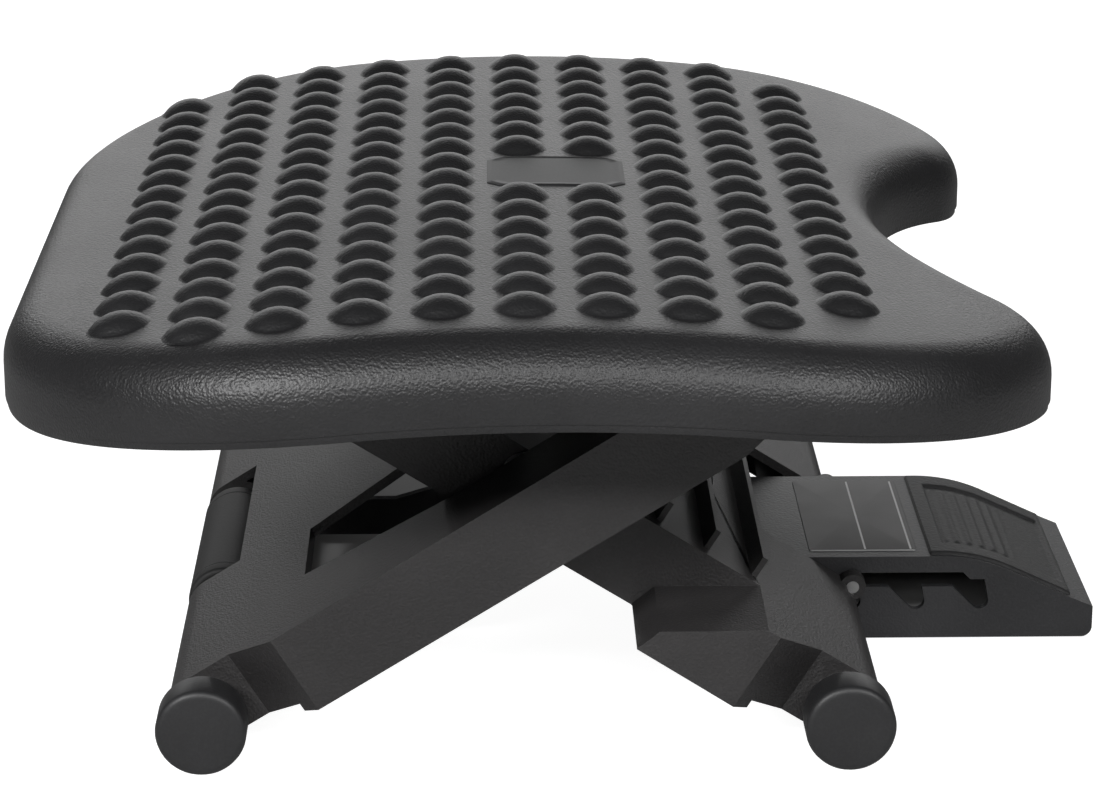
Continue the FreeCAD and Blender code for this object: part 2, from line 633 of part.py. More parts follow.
room = [box(minus(THROUGH), "carrier_low + carrier_floor", THROUGH, THROUGH)]
carve(carrier, sketch(carrier, "room", "XZ_Plane", room), "2 * " + CARRIER_IN)
under = [box(minus(THROUGH), "0", slot_high + " + 2 * carrier_floor", THROUGH)]
carve(carrier, sketch(carrier, "under", "XZ_Plane", under), "2 * " + CARRIER_IN)
slot = [box(slot_low, TOP_Z + " - glide_radius - glide_fit", slot_high,
            TOP_Z + " + glide_radius + glide_fit")]
carve(carrier, sketch(carrier, "slot", "XZ_Plane", slot), THROUGH)
carve(carrier, sketch(carrier, "hinge", "XZ_Plane", (), [(TOP_X, TOP_Z, RUN_RADIUS)]), THROUGH)
tilt_bore = [("platform_shift", "tilt_height", "tilt_radius + running_fit")]
carve(carrier, sketch(carrier, "tilt_bore", "XZ_Plane", (), tilt_bore), THROUGH)

# Tilt axle and the two V shaped brackets that hang the platform from it
bracket_in = "(ear_out + side_gap)"
bracket_out = "(ear_out + side_gap + bracket_thick)"
flange_out = "(ear_out + side_gap + bracket_thick + flange_width)"
screw_y = "(ear_out + side_gap + bracket_thick + flange_width / 2)"
rod("tilt_axle", "tilt_radius", bracket_out + " + axle_end", "platform_shift", "tilt_height")
for side in ("near", "far"):
    bracket = body_at("tilt_bracket_" + side)
    vee = [("platform_shift - pad_half", "pad_height"), ("platform_shift + pad_half", "pad_height"),
           ("platform_shift + pad_half", "pad_height - bracket_thick"),
           ("platform_shift + bracket_foot", "tilt_height - bracket_foot"),
           ("platform_shift - bracket_foot", "tilt_height - bracket_foot"),
           ("platform_shift - pad_half", "pad_height - bracket_thick")]
    middle, thick = both_sides(bracket_in, bracket_out)
    away = middle if side == "near" else minus(middle)
    grow(bracket, sketch(bracket, "vee", "XZ_Plane", [vee], (), away), thick)
    low, high = span(side, bracket_in, flange_out)
    flange = [box("platform_shift - pad_half", low, "platform_shift + pad_half", high)]
    flat = sketch(bracket, "flange", "XY_Plane", flange, (), "pad_height - bracket_thick")
    grow(bracket, flat, "bracket_thick", False)
    axle_hole = [("platform_shift", "tilt_height", "tilt_radius")]
    carve(bracket, sketch(bracket, "axle_hole", "XZ_Plane", (), axle_hole), THROUGH)
    holes = [("platform_shift " + where + " (pad_half - screw_inset)", span(side, screw_y, screw_y)[0],
              "screw_radius")
             for where in ("-", "+")]
    carve(bracket, sketch(bracket, "screw_holes", "XY_Plane", (), holes), THROUGH)
    ring("axle_clip_" + side, "tilt_radius + clip_rim", "tilt_radius",
         *span(side, bracket_out, bracket_out + " + clip_thick"), "platform_shift", "tilt_height")
    for index, (x, y, radius) in enumerate(holes):
        screw = body_at("bracket_screw_%s_%d" % (side, index + 1))
        under = "pad_height - bracket_thick - screw_head"
        grow(screw, sketch(screw, "head", "XY_Plane", (), [(x, y, "2 * screw_radius")], under),
             "screw_head", False)
        shank = sketch(screw, "shank", "XY_Plane", (), [(x, y, "screw_radius")], under)
        grow(screw, shank, "screw_head + bracket_thick + screw_depth / 2", False)


# Platform: a crowned shell whose outline is built from tangent arcs, with a bay over the lever
def platform_outline(inset):
    """The platform's outline on the ground plan, moved in by a wall, as one closed wire."""
    wide = size("platform_half_width") - inset
    long = size("platform_half_length") - inset
    left = size("corner_left") - inset
    corner = size("corner_right") - inset
    lobe = size("lobe_radius") - inset
    bay = size("bay_radius") + inset
    deepest = size("platform_half_width") - size("bay_depth") - inset
    lobe_y = math.sqrt((bay + lobe) ** 2 - (deepest + bay - (wide - lobe)) ** 2)
    corner_y = long - corner
    corner_x = wide - lobe - math.sqrt((corner - lobe) ** 2 - (lobe_y - corner_y) ** 2)

    def at(x, y):
        return FreeCAD.Vector(x, y, 0)

    def on(centre, radius, toward):
        return centre + (toward - centre).normalize() * radius

    half = []
    bay_centre = at(deepest + bay, 0)
    lobe_centre = at(wide - lobe, lobe_y)
    corner_centre = at(corner_x, corner_y)
    bay_end = on(bay_centre, bay, lobe_centre)
    lobe_end = lobe_centre + (lobe_centre - corner_centre).normalize() * lobe
    half.append(Part.Arc(at(deepest, 0), on(bay_centre, bay, (at(deepest, 0) + bay_end) * 0.5), bay_end))
    half.append(Part.Arc(bay_end, on(lobe_centre, lobe, (bay_end + lobe_end) * 0.5), lobe_end))
    top = at(corner_x, long)
    half.append(Part.Arc(lobe_end, on(corner_centre, corner, (lobe_end + top) * 0.5), top))
    half.append(Part.LineSegment(top, at(-wide + left, long)))
    left_centre = at(-wide + left, long - left)
    side = at(-wide, long - left)
    half.append(Part.Arc(at(-wide + left, long),
                         on(left_centre, left, (at(-wide + left, long) + side) * 0.5), side))
    half.append(Part.LineSegment(side, at(-wide, 0)))
    edges = [piece.toShape() for piece in half]
    other = [edge.mirror(FreeCAD.Vector(), FreeCAD.Vector(0, 1, 0)) for edge in edges]
    outline = Part.Wire(Part.__sortEdges__(edges + other))
    outline.translate(at(size("outline_shift"), 0))
    return outline


def across(radius, half, axis_z, axis_x=0):
    """A cylinder along the platform's length, with its seam turned away from the crown."""
    start = FreeCAD.Vector(axis_x, -half, axis_z)
    made = Part.makeCylinder(radius, 2 * half, start, FreeCAD.Vector(0, 1, 0))
    seam = max(made.Edges, key=lambda edge: edge.Length).CenterOfMass
    if seam.z > axis_z:
        made.rotate(start, FreeCAD.Vector(0, 1, 0), 180)
    return made


def crowned(inset, lowest):
    """A block of the platform's outline, topped by the crown and cut off below by a parallel arch."""
    crown = size("crown_height") - inset
    radius = size("crown_radius") - inset
    reach = size("platform_half_length") + size("shell")
    block = Part.Face(platform_outline(inset)).extrude(FreeCAD.Vector(0, 0, 2 * crown))
    bend = size("skirt_bend")
    below = across(bend, reach, size("crown_height") - lowest - bend, size("skirt_shift"))
    whole = block.common(across(radius, reach, crown - radius).cut(below))
    rolled = [edge for edge in whole.Edges if on_crown(edge, crown - radius, radius)]
    return whole.makeFillet(size("edge_roll") - inset, rolled)


def on_crown(edge, axis_z, radius):
    """Whether an edge lies on the crown all along, tried near both ends and in the middle."""
    first, last = edge.ParameterRange
    tried = [edge.valueAt(first + share * (last - first)) for share in (0.1, 0.5, 0.9)]
    near_enough = 0.01
    return all(abs(math.hypot(point.x, point.z - axis_z) - radius) < near_enough for point in tried)


def platform_shape():
    """The shell with its studs, the seat of the nameplate and the two pads for the brackets."""
    crown = size("crown_height")
    radius = size("crown_radius")
    shell = size("shell")
    shape = crowned(0, size("skirt")).cut(crowned(shell, size("skirt") + size("edge_roll")))
    studs = []
    stud = size("stud_radius")
    rise = size("stud_height")
    ball = (stud ** 2 + rise ** 2) / (2 * rise)
    for column in range(STUD_COLUMNS):
        for row in range(STUD_ROWS):
            cornered = column in (0, STUD_COLUMNS - 1) and row in (0, STUD_ROWS - 1)
            plated = column in PLATED_COLUMNS and row in PLATED_ROWS
            if cornered or plated:
                continue
            x = size("stud_shift") + (column - (STUD_COLUMNS - 1) / 2) * size("stud_pitch_x")
            y = size("stud_centre") + (row - (STUD_ROWS - 1) / 2) * size("stud_pitch_y")
            lean = math.asin(x / radius)
            depth = radius + rise - ball
            centre = FreeCAD.Vector(depth * math.sin(lean), y, crown - radius + depth * math.cos(lean))
            studs.append(Part.makeSphere(ball, centre))
    pads = []
    pad_z = size("pad_height")
    half = size("pad_half")
    low = size("ear_out") + size("side_gap")
    wide = size("bracket_thick") + size("flange_width")
    screw_place = low + size("bracket_thick") + size("flange_width") / 2
    for side in (-1, 1):
        start = FreeCAD.Vector(-half, min(side * low, side * (low + wide)), pad_z)
        pad = Part.makeBox(2 * half, wide, size("skirt"), start)
        for end in (-1, 1):
            hole_at = FreeCAD.Vector(end * (half - size("screw_inset")), side * screw_place, pad_z)
            pad = pad.cut(Part.makeCylinder(size("screw_radius"), size("screw_depth"), hole_at))
        pads.append(pad)
    core = across(radius - shell / 2, size("platform_half_length"), crown - radius)
    added = [ball.cut(core) for ball in studs] + [pad.common(core) for pad in pads]
    return shape.cut(nameplate_shape()).fuse(added)


def nameplate_shape():
    """The bare inlay in the middle of the studs, with cut corners, following the crown."""
    radius = size("crown_radius")
    axis_z = size("crown_height") - radius
    half_x = size("nameplate_length") / 2
    half_y = size("nameplate_half")
    cut = size("nameplate_corner")
    middle = size("stud_shift") + size("stud_pitch_x")
    proud = radius + size("nameplate_proud")
    below = across(proud - size("nameplate_thick"), 2 * half_y, axis_z)
    arch = across(proud, 2 * half_y, axis_z).cut(below)
    corners = []
    for side_x, side_y in ((-1, -1), (1, -1), (1, 1), (-1, 1)):
        first = (middle + side_x * half_x, side_y * (half_y - cut))
        second = (middle + side_x * (half_x - cut), side_y * half_y)
        corners += [first, second] if side_x == side_y else [second, first]
    outline = [FreeCAD.Vector(x, y + size("stud_centre"), 0) for x, y in corners]
    plan = Part.Face(Part.makePolygon(outline + outline[:1]))
    return plan.extrude(FreeCAD.Vector(0, 0, 2 * size("crown_height"))).common(arch)


for title, made in (("platform_shell", platform_shape()), ("nameplate", nameplate_shape())):
    piece = doc.addObject("Part::Feature", title)
    piece.Label = title
    piece.Shape = made
    bind(piece, "Placement.Base.x", "platform_shift - " + ORIGIN_X)
    NODES.append(piece)

doc.recompute()
for thing in doc.Objects:
    if "Invalid" in thing.State or "Error" in thing.State:
        raise RuntimeError("%s did not build: %s" % (thing.Label, thing.getStatusString()))
os.makedirs("parts", exist_ok=True)
for node in NODES:
    shape = node.Shape
    if shape.isNull() or not shape.isValid() or not shape.Solids:
        raise RuntimeError("%s has no valid solid" % node.Label)
    shape.exportStep("parts/%s.step" % node.Label)
print("%d pieces" % len(NODES))
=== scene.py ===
import math

import bmesh
import bpy
import numpy as np
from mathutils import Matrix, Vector


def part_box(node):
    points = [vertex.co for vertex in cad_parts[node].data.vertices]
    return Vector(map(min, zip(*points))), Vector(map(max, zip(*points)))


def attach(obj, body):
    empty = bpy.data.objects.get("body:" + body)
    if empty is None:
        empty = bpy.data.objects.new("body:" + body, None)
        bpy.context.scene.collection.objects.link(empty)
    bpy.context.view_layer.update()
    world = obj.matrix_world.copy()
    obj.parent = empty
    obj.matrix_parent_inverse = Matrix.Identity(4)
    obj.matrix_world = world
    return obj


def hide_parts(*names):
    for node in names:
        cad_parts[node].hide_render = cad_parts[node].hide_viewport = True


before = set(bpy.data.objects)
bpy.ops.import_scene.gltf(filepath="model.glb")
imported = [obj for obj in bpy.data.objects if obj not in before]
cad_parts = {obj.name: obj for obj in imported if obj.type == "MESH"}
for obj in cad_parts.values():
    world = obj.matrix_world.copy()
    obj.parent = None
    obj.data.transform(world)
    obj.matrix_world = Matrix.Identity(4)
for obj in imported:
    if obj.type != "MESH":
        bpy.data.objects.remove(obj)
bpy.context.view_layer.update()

# Studio: a white floor and backdrop with dim surroundings, soft boxes above the camera, whose light
# lies along the platform's rolled edge, and a wide one far behind, which greys the crown's top.
bpy.context.scene.view_settings.view_transform = "Standard"

camera_place = (-0.03035, -1.3222, 0.5148)
camera_aim = (0.0178, 0.9498, -0.3126)
sensor_width, focal_pixels, photo_width = 36.0, 3600, 1096


def placed(name, data):
    """A new object in the scene that holds the given data."""
    made = bpy.data.objects.new(name, data)
    bpy.context.scene.collection.objects.link(made)
    return made


camera = placed("camera", bpy.data.cameras.new("camera"))
camera.data.sensor_width = sensor_width
camera.data.lens = sensor_width * focal_pixels / photo_width
camera.data.clip_start = 0.05
camera.data.clip_end = 30.0
camera.location = camera_place
camera.rotation_mode = "QUATERNION"
camera.rotation_quaternion = Vector(camera_aim).to_track_quat("-Z", "Y")
bpy.context.scene.camera = camera


class Flow:
    """What comes out of one node of a finish; arithmetic on it adds the Math nodes."""

    def __init__(self, tree, socket):
        self.tree = tree
        self.socket = socket

    def node(self, kind, inputs, out=0, **settings):
        """Adds a node: first its settings, then the values or flows of its sockets."""
        made = self.tree.nodes.new("ShaderNode" + kind)
        for name, value in settings.items():
            setattr(made, name, value)
        for name, value in inputs.items():
            if isinstance(value, Flow):
                self.tree.links.new(value.socket, made.inputs[name])
            else:
                made.inputs[name].default_value = value
        return Flow(self.tree, made.outputs[out])

    def maths(self, operation, other=0.0):
        """A Math node on this flow, and on another one where the operation takes two."""
        return self.node("Math", {0: self, 1: other}, operation=operation)

    def __add__(self, other):
        return self.maths("ADD", other)

    def __sub__(self, other):
        return self.maths("SUBTRACT", other)

    def __rsub__(self, other):
        return self.node("Math", {0: other, 1: self}, operation="SUBTRACT")

    def __mul__(self, other):
        return self.maths("MULTIPLY", other)

    __radd__ = __add__
    __rmul__ = __mul__

    def blend(self, first, second):
        """A Mix from the first colour to the second; its colour sockets go by number."""
        return self.node("Mix", {"Factor": self, 6: first, 7: second}, out=2, data_type="RGBA")

    def into(self, shader, socket):
        """Leads this flow to one socket of a shader."""
        self.tree.links.new(self.socket, shader.inputs[socket])

    def clipped(self, low, high):
        """0 below low and 1 above high, with a smooth rise between."""
        return self.node("MapRange", {"Value": self, "From Min": low, "From Max": high},
                         interpolation_type="SMOOTHSTEP")


def finish_of(name):
    """An empty finish: its material, a Flow of Object coordinates and the shader to fill."""
    material = bpy.data.materials.new(name)
    material.use_nodes = True
    tree = material.node_tree
    shader = tree.nodes["Principled BSDF"]
    start = Flow(tree, None)
    place = start.node("TexCoord", {}, out="Object")
    return material, place, shader


world = bpy.data.worlds.new("surroundings")
bpy.context.scene.world = world
world.use_nodes = True
air = world.node_tree
sky = Flow(air, None)
seen = sky.node("LightPath", {}, out="Is Camera Ray")
dim, bright = 0.07, 1.0
tone = sky.node("Mix", {"Factor": seen, 2: dim, 3: bright}, data_type="FLOAT")
tone.into(air.nodes["Background"], "Strength")
air.nodes["Background"].inputs["Color"].default_value = (1.0, 1.0, 1.0, 1.0)


def soft_box(name, place, aim, wide, long, power):
    """A rectangular area lamp at place, turned to face aim."""
    lamp = bpy.data.lights.new(name, "AREA")
    lamp.shape = "RECTANGLE"
    lamp.size = wide
    lamp.size_y = long
    lamp.energy = power
    holder = placed(name, lamp)
    holder.location = place
    holder.rotation_mode = "QUATERNION"
    holder.rotation_quaternion = (Vector(aim) - Vector(place)).to_track_quat("-Z", "Y")


soft_box("near_left_box", (-0.93, -1.15, 0.95), (-0.1, -0.2, 0.15), 0.45, 0.26, 20.0)
soft_box("near_right_box", (0.94, -1.15, 0.95), (0.1, -0.2, 0.15), 0.40, 0.26, 11.0)
soft_box("near_strip", (0.0, -1.15, 0.86), (0.0, -0.2, 0.15), 1.1, 0.14, 8.0)
soft_box("back_box", (0.0, 2.6, 0.85), (0.0, 0.0, 0.15), 3.0, 1.15, 22.0)

floor_mesh = bpy.data.meshes.new("floor")
floor_half = 8.0
floor_corners = [(x * floor_half, y * floor_half, 0.0) for x, y in ((-1, -1), (1, -1), (1, 1), (-1, 1))]
floor_mesh.from_pydata(floor_corners, [], [(0, 1, 2, 3)])
floor = placed("floor", floor_mesh)
floor_finish, floor_place, floor_shader = finish_of("pale_floor")
floor_grey, glow_grey = 0.45, 0.95
floor_shader.inputs["Base Color"].default_value = (floor_grey, floor_grey, floor_grey, 1.0)
floor_shader.inputs["Roughness"].default_value = 0.9
floor_sight = floor_place.node("LightPath", {}, out="Is Camera Ray")
floor_x = floor_place.node("SeparateXYZ", {"Vector": floor_place}, out="X")
floor_y = floor_place.node("SeparateXYZ", {"Vector": floor_place}, out="Y")


def outside(middle_x, half_x, middle_y, half_y, fade=0.002):
    """1 outside a rectangle of the floor and 0 within it, with a soft edge."""
    past_x = (floor_x - middle_x).maths("ABSOLUTE").clipped(half_x - fade, half_x + fade)
    past_y = (floor_y - middle_y).maths("ABSOLUTE").clipped(half_y - fade, half_y + fade)
    return past_x.maths("MAXIMUM", past_y)


# The camera sees a glowing white floor, except inside the pedal and between the frames' feet: there the
# glow is left out, which paints in the shade that falls under the footrest.
# Painted shade: two dark floor patches, inside the pedal and between the frames' feet.
outside_pedal_shade = outside(0.134, 0.064, -0.004, 0.044)
outside_feet_shade = outside(-0.083, 0.040, 0.060, 0.085)
unlit, lit = (0.0, 0.0, 0.0, 1.0), (glow_grey, glow_grey, glow_grey, 1.0)
glow = (floor_sight * (outside_pedal_shade * outside_feet_shade)).blend(unlit, lit)
glow.into(floor_shader, "Emission Color")
floor_shader.inputs["Emission Strength"].default_value = 1.0
floor.data.materials.append(floor_finish)

# Platform: one injection moulded shell of black plastic with a fine pebble grain. Its top is a
# shallow arch across the width that rolls over into a skirt all round; the user's side has a bay,
# and the skirt ends in a thin lip. It is hollow underneath.
origin_x = 0.01625
crown_x = 0.0025 - origin_x
crown_z = 0.171
crown_radius = 0.75
roll = 0.020
shell = 0.003
skirt = 0.031
skirt_z = crown_z - skirt
skirt_bend = 0.8
skirt_shift = 0.008


def grained(name, colour, grain, depth, roughness, dust):
    """Moulded plastic or rubber: pebbles of the given size, uneven sheen and a dusty cast.

    The height is rounded cells with wider lumps on them. Colour goes from the plain tone to a
    paler one in the hollows and where wide, slow noise says that dust has settled."""
    material, place, shader = finish_of(name)
    cells = place.node("TexVoronoi", {"Vector": place, "Scale": 1.0 / grain}, feature="SMOOTH_F1")
    lumps = place.node("TexNoise", {"Vector": place, "Scale": 0.6 / grain, "Detail": 2.0})
    slow = place.node("TexNoise", {"Vector": place, "Scale": 11.0, "Detail": 4.0, "Roughness": 0.6})
    fine = place.node("TexNoise", {"Vector": place, "Scale": 900.0, "Detail": 1.0})
    settled = slow.clipped(0.38, 0.72) * dust + cells.clipped(0.2, 0.9) * 0.35 + fine * 0.15
    worn = tuple(min(1.0, c * 1.9 + 0.004) for c in colour)
    base = settled.blend(colour + (1.0,), worn + (1.0,))
    sheen = roughness + slow * 0.10 - lumps * 0.06
    relief = place.node("Bump", {"Height": lumps * 0.7 - cells * 0.8, "Distance": depth, "Strength": 1.0})
    base.into(shader, "Base Color")
    sheen.into(shader, "Roughness")
    relief.into(shader, "Normal")
    return material


def piece_of(name, grids, finish, body, closed=True):
    """One mesh from grids of points, each rows x columns x 3, riding on a body.

    Neighbouring rows and columns are joined by quads. A closed grid's last column joins its first.
    A first or last row whose points fall together becomes one point with a fan of triangles."""
    points, faces, start = [], [], 0
    for grid in grids:
        rows, columns = grid.shape[:2]
        index = start + np.arange(rows * columns).reshape(rows, columns)
        for pole in (0, rows - 1):
            if np.ptp(grid[pole], axis=0).max() < 1e-9:
                index[pole] = index[pole, 0]
        around = np.roll(index, -1, axis=1) if closed else index[:, 1:]
        here = index if closed else index[:, :-1]
        quads = np.stack([here[:-1], around[:-1], around[1:], here[1:]], axis=-1).reshape(-1, 4)
        faces += [tuple(dict.fromkeys(quad)) for quad in quads.tolist()]
        points.append(grid.reshape(-1, 3))
        start += rows * columns
    mesh = bpy.data.meshes.new(name)
    mesh.from_pydata(np.concatenate(points).tolist(), [], faces)
    tidy = bmesh.new()
    tidy.from_mesh(mesh)
    bmesh.ops.delete(tidy, geom=[v for v in tidy.verts if not v.link_faces], context="VERTS")
    tidy.to_mesh(mesh)
    tidy.free()
    mesh.shade_smooth()
    mesh.set_sharp_from_angle(angle=math.radians(40))
    mesh.materials.append(finish)
    made = placed(name, mesh)
    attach(made, body)
    return made


def evenly(path, steps, values):
    """Values given at the points of a path, read at even steps of the path's length."""
    gone = np.concatenate([[0], np.cumsum(np.linalg.norm(np.diff(path, axis=0), axis=1))])
    at = np.linspace(0, gone[-1], steps, endpoint=False)
    return np.stack([np.interp(at, gone, column) for column in values.T], axis=-1)


def rim(steps):
    """The platform's outline from above: points and outward directions, walked round at even steps.

    Half of it is an arc of the bay, an arc of the lobe, the arc of the user's corner, a straight
    end, the arc of the far corner and a straight side; the other half is its mirror image."""
    wide, long, left, corner, lobe, bay = 0.184, 0.217, 0.125, 0.112, 0.050, 0.150
    deepest = wide - 0.047
    lobe_y = math.sqrt((bay + lobe) ** 2 - (deepest + bay - (wide - lobe)) ** 2)
    corner_y = long - corner
    corner_x = wide - lobe - math.sqrt((corner - lobe) ** 2 - (lobe_y - corner_y) ** 2)
    facing_lobe = math.atan2(lobe_y, wide - lobe - deepest - bay)
    from_corner = math.atan2(lobe_y - corner_y, wide - lobe - corner_x)
    parts = [(deepest + bay, 0.0, bay, math.pi, facing_lobe, -1),
             (wide - lobe, lobe_y, lobe, facing_lobe - math.pi, from_corner, 1),
             (corner_x, corner_y, corner, from_corner, math.pi / 2, 1),
             ((corner_x, long), (-wide + left, long), (0.0, 1.0)),
             (-wide + left, long - left, left, math.pi / 2, math.pi, 1),
             ((-wide, long - left), (-wide, 0.0), (-1.0, 0.0))]
    straight_steps, arc_steps, shift = 200, 400, -0.003
    walked, ways = [], []
    for part in parts:
        if len(part) == 3:
            share = np.linspace(0, 1, straight_steps)[:, None]
            walked.append((1 - share) * np.array(part[0]) + share * np.array(part[1]))
            ways.append(np.repeat(np.array([part[2]]), straight_steps, axis=0))
        else:
            x, y, radius, first, last, side = part
            turn = np.linspace(first, last, arc_steps)
            way = np.stack([np.cos(turn), np.sin(turn)], axis=-1)
            walked.append(np.array([x, y]) + radius * way)
            ways.append(side * way)
    half, way = np.concatenate(walked), np.concatenate(ways)
    flip = np.array([1.0, -1.0])
    whole = np.concatenate([half, half[::-1] * flip])
    way = np.concatenate([way, way[::-1] * flip])
    point, out = evenly(whole, steps, whole), evenly(whole, steps, way)
    out /= np.linalg.norm(out, axis=1, keepdims=True)
    return point + np.array([shift, 0.0]), out


def crown(x, inset=0.0):
    """Height of the arch, or of the one a wall's thickness below it, at a distance from its top line."""
    radius = crown_radius - inset
    return crown_z - inset - radius + np.sqrt(radius ** 2 - x ** 2)


def skin(edge, out, inset, rolled, crowned_rows, crowding=0.8):
    """Rows of the shell's outer or inner skin from the middle of the crown down to the skirt.

    Near the edge a circle of the roll's radius touches both the arch and the upright skirt; from
    there inwards the rows shrink towards the middle and lie on the arch."""
    radius = roll - inset
    ball = edge - out * (inset + radius)
    slope = np.arcsin(ball[:, 0] / (crown_radius - inset)) * out[:, 0]
    ball_z = crown(ball[:, 0], inset) - radius / np.cos(slope)
    turn = (math.pi / 2 - slope)[None, :] * np.linspace(1, 0, rolled)[:, None]
    flat = ball[None] + out[None] * (radius * np.cos(turn))[..., None]
    bend = np.concatenate([flat, (ball_z + radius * np.sin(turn))[..., None]], axis=-1)
    share = np.linspace(0, 1, crowned_rows, endpoint=False)[:, None, None] ** crowding
    inner = share * bend[:1, :, :2]
    top = np.concatenate([inner, crown(inner[..., :1], inset)], axis=-1)
    return np.concatenate([top, bend])


def under(x):
    """Height of the skirt's lower edge, which follows an arch of its own."""
    return skirt_z - skirt_bend + np.sqrt(skirt_bend ** 2 - (x - skirt_shift) ** 2)


edge, out = rim(640)
outer_skin = skin(edge, out, 0.0, 12, 26)
inner_skin = skin(edge, out, shell, 9, 18)
lip = []
lip_profile = ((0.0, 0.010), (0.0, 0.0034), (0.0001, 0.0030), (0.0006, 0.0028), (0.0007, 0.0024),
               (0.0007, 0.0006), (0.0010, 0.0001), (0.0015, 0.0), (0.0022, 0.0), (0.0027, 0.0001),
               (0.0030, 0.0006))
for inward, above in lip_profile:
    here = edge - out * inward
    lip.append(np.concatenate([here, (under(here[:, 0]) + above)[:, None]], axis=-1))
shape = np.concatenate([outer_skin, np.array(lip), inner_skin[::-1]])
shape[..., 0] += crown_x
platform_plastic = grained("platform_grain", (0.0062, 0.0061, 0.0066), 0.00085, 0.00024, 0.42, 0.5)
platform = piece_of("platform_skin", [shape[::-1]], platform_plastic, "platform")
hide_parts("platform_shell")

# Studs: low domes moulded with the shell, ten lines across and sixteen along, which massage the
# soles. Each leans with the arch and meets it in a small round foot.
stud_radius, stud_rise, foot, sunk = 0.0110, 0.0048, 0.0009, 0.0002
stud_columns, stud_rows = 10, 16
pitch_x, pitch_y = 0.0275, 0.0238
field_x, field_y = -0.0165, 0.002
ball = (stud_radius ** 2 + stud_rise ** 2) / (2 * stud_rise)
across_dome = np.array([0.0, 0.0025, 0.0048, 0.0069, 0.0086, 0.0099, 0.0107])
dome = np.sqrt(ball ** 2 - across_dome ** 2) - ball + stud_rise
profile_r = np.concatenate([across_dome, [stud_radius + 0.3 * foot, stud_radius + foot]])
profile_z = np.concatenate([dome, [0.02 * foot, -sunk]])
turns = np.linspace(0, 2 * math.pi, 20, endpoint=False)
column, row = np.meshgrid(np.arange(stud_columns), np.arange(stud_rows), indexing="ij")
at_corner = np.isin(column, (0, stud_columns - 1)) & np.isin(row, (0, stud_rows - 1))
under_plate = np.isin(column, (5, 6)) & np.isin(row, (7, 8))
kept = ~at_corner & ~under_plate
stud_x = field_x + (column[kept] - (stud_columns - 1) / 2) * pitch_x
stud_y = field_y + (row[kept] - (stud_rows - 1) / 2) * pitch_y
lean = np.arcsin(stud_x / crown_radius)[:, None, None]
plane_x = profile_r[None, :, None] * np.cos(turns)[None, None, :]
plane_y = profile_r[None, :, None] * np.sin(turns)[None, None, :]
rise = np.broadcast_to(profile_z[None, :, None], plane_x.shape) - plane_x ** 2 / (2 * crown_radius)
dome_x = crown_x + crown_radius * np.sin(lean) + plane_x * np.cos(lean) + rise * np.sin(lean)
dome_y = stud_y[:, None, None] + plane_y + 0 * lean
dome_z = crown_z - crown_radius + crown_radius * np.cos(lean) - plane_x * np.sin(lean) + rise * np.cos(lean)
domes = np.stack([dome_x, dome_y, dome_z], axis=-1)
stud_plastic = grained("stud_grain", (0.0055, 0.0055, 0.0060), 0.00080, 0.00016, 0.44, 0.3)
piece_of("platform_studs", list(domes), stud_plastic, "platform")

# Nameplate: a bare inlay of smoother satin plastic among the studs, with cut corners and a fine
# raised border. It follows the arch and stands half a millimetre proud.
plate_x, plate_y, cut = 0.026, 0.022, 0.005
plate_middle = (0.011, 0.002)
corners = np.array([(1, -1, 0, 1), (1, 1, 0, -1), (1, 1, -1, 0), (-1, 1, 1, 0),
                    (-1, 1, 0, -1), (-1, -1, 0, 1), (-1, -1, 1, 0), (1, -1, -1, 0)], float)
ring = corners[:, :2] * (plate_x, plate_y) + corners[:, 2:] * cut
ring = np.concatenate([ring, ring[:1]])
ring = evenly(ring, 160, ring)
rows = []
border_profile = ((0.0, 0.0004), (0.4, 0.0004), (0.8, 0.0004), (0.90, 0.0004), (0.915, 0.0006),
                  (0.945, 0.0006), (0.96, 0.0004), (0.985, 0.0004), (0.997, 0.0002), (1.0, -0.0004))
for share, rise in border_profile:
    flat = ring * share + plate_middle
    rows.append(np.stack([flat[:, 0] + crown_x, flat[:, 1], crown(flat[:, 0]) + rise], axis=-1))
plate_plastic = grained("nameplate_satin", (0.0060, 0.0060, 0.0066), 0.0006, 0.00001, 0.52, 0.4)
nameplate = piece_of("nameplate_inlay", [np.array(rows)], plate_plastic, "platform")
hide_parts("nameplate")

# Frames: two crossed H-shaped mouldings of grained black plastic, each a top plate with its sides
# turned down and a tube along its foot. Their edges are softened as a moulding's are, and so are
# those of the carrier, the channel of the same plastic that joins them to the platform.
frame_plastic = grained("frame_grain", (0.0120, 0.0112, 0.0114), 0.00085, 0.00020, 0.50, 0.7)


def softened(node, name, finish, body, width):
    """A copy of a solid's mesh with its flat faces made whole and its sharp edges rounded off."""
    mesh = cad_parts[node].data.copy()
    mesh.name = name
    work = bmesh.new()
    work.from_mesh(mesh)
    bmesh.ops.remove_doubles(work, verts=work.verts, dist=1e-6)
    bmesh.ops.dissolve_limit(work, angle_limit=math.radians(0.5), verts=work.verts, edges=work.edges)
    work.to_mesh(mesh)
    work.free()
    mesh.shade_smooth()
    mesh.set_sharp_from_angle(angle=math.radians(28))
    mesh.materials.clear()
    mesh.materials.append(finish)
    made = placed(name, mesh)
    bevel = made.modifiers.new("softened_edges", "BEVEL")
    bevel.width = width
    bevel.segments = 2
    bevel.limit_method = "ANGLE"
    bevel.angle_limit = math.radians(32)
    bevel.harden_normals = True
    bevel.miter_outer = "MITER_ARC"
    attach(made, body)
    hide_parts(node)


softened("outer_frame", "outer_frame_moulding", frame_plastic, "outer_frame", 0.0009)
softened("inner_frame", "inner_frame_moulding", frame_plastic, "inner_frame", 0.0009)
softened("carrier", "carrier_moulding", frame_plastic, "carrier", 0.0006)

